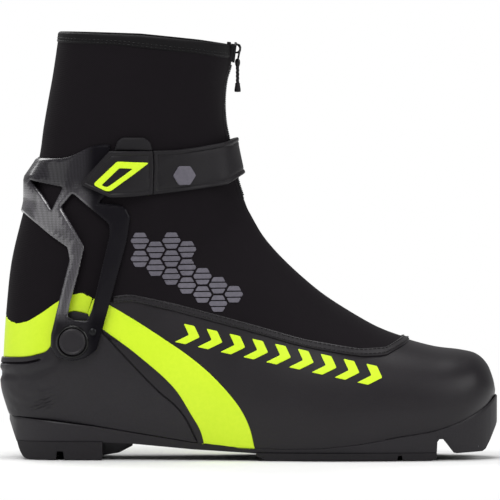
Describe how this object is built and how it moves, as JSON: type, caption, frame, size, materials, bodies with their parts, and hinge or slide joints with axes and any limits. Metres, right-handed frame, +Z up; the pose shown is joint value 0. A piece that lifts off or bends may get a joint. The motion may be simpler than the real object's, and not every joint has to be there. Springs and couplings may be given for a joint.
{
  "type": "cross country boot",
  "caption": "Right cross country skating boot with softshell shaft, moulded sole with toe bar, hinged ankle cuff, hook-and-loop strap and front zip.",
  "frame": {"origin": "centre of the heel tread's flat ground face", "axes": "+X towards the toe, +Z up, +Y towards the inner side of the foot (right boot)"},
  "size_m": [0.2994, 0.0996, 0.257],
  "materials": {
    "shell_fabric": "matt stretch softshell",
    "vamp": "satin coated synthetic leather",
    "neon": "satin neon film",
    "plastic": "satin moulded plastic",
    "rubber": "matt tread rubber",
    "carbon": "carbon-look reinforced plastic",
    "webbing": "coated webbing and tape",
    "lining": "brushed padded lining",
    "board": "fibreboard",
    "steel": "plated steel",
    "dark_metal": "black coated metal",
    "print": "grey transfer"
  },
  "bodies": {
    "boot": {"outsole": "plastic", "toe_binding_bar": "steel", "shank": "steel", "lasting_board": "board", "insole": "lining", "heel_tread": "rubber", "forefoot_tread": "rubber", "vamp": "vamp", "stripe_lateral": "neon", "stripe_medial": "neon", "side_trim_lateral": "vamp", "side_trim_medial": "vamp", "eyestay_lateral": "webbing", "eyestay_medial": "webbing", "heel_panel": "neon", "heel_counter": "plastic", "seam_piping": "webbing", "toe_puff": "board", "heel_stiffener": "board", "lace": "webbing", "pivot_pin_lateral": "plastic", "pivot_pin_medial": "plastic", "pivot_nut_lateral": "steel", "pivot_nut_medial": "steel"},
    "cuff": {"cuff_frame": "carbon", "softshell_cover": "shell_fabric", "collar_binding": "webbing", "liner": "lining", "tongue": "lining", "zip_tape": "webbing", "zip_teeth": "dark_metal", "strap_anchor": "webbing", "hook_patch": "webbing", "pivot_ring_lateral": "plastic", "pivot_ring_medial": "plastic", "arm_rivet_lateral": "dark_metal", "arm_rivet_medial": "dark_metal"},
    "strap": {"strap_main": "webbing", "strap_badge": "print"},
    "tab": {"strap_tab": "webbing", "tab_inlay": "neon", "loop_patch": "webbing"},
    "slider": {"zip_slider": "dark_metal"},
    "ring": {"zip_ring": "dark_metal"},
    "pull": {"zip_pull": "webbing"}
  },
  "joints": [
    {"name": "cuff_pivot", "type": "hinge", "parent": "boot", "child": "cuff", "pos_m": [0.0082, 0, 0.0715], "axis": [0, 1, 0], "range_deg": [-5, 15], "deforming": ["softshell_cover", "liner", "tongue", "zip_tape", "zip_teeth"]},
    {"name": "strap_swing", "type": "hinge", "parent": "cuff", "child": "strap", "pos_m": [0.05, 0.04224, 0.172], "axis": [0, 0, 1], "range_deg": [0, 70]},
    {"name": "strap_tab_peel", "type": "hinge", "parent": "strap", "child": "tab", "pos_m": [0.056, -0.04055, 0.172], "axis": [0, 0, 1], "range_deg": [0, 100]},
    {"name": "zip_slide", "type": "slide", "parent": "cuff", "child": "slider", "axis": [-0.0896, 0, -0.996], "range_m": [0, 0.025]},
    {"name": "ring_swing", "type": "hinge", "parent": "slider", "child": "ring", "pos_m": [0.1089, 0, 0.2473], "axis": [0, -1, 0], "range_deg": [0, 120]},
    {"name": "pull_swing", "type": "hinge", "parent": "ring", "child": "pull", "pos_m": [0.1072, 0, 0.2389], "axis": [0, -1, 0], "range_deg": [-10, 90]}
  ]
}
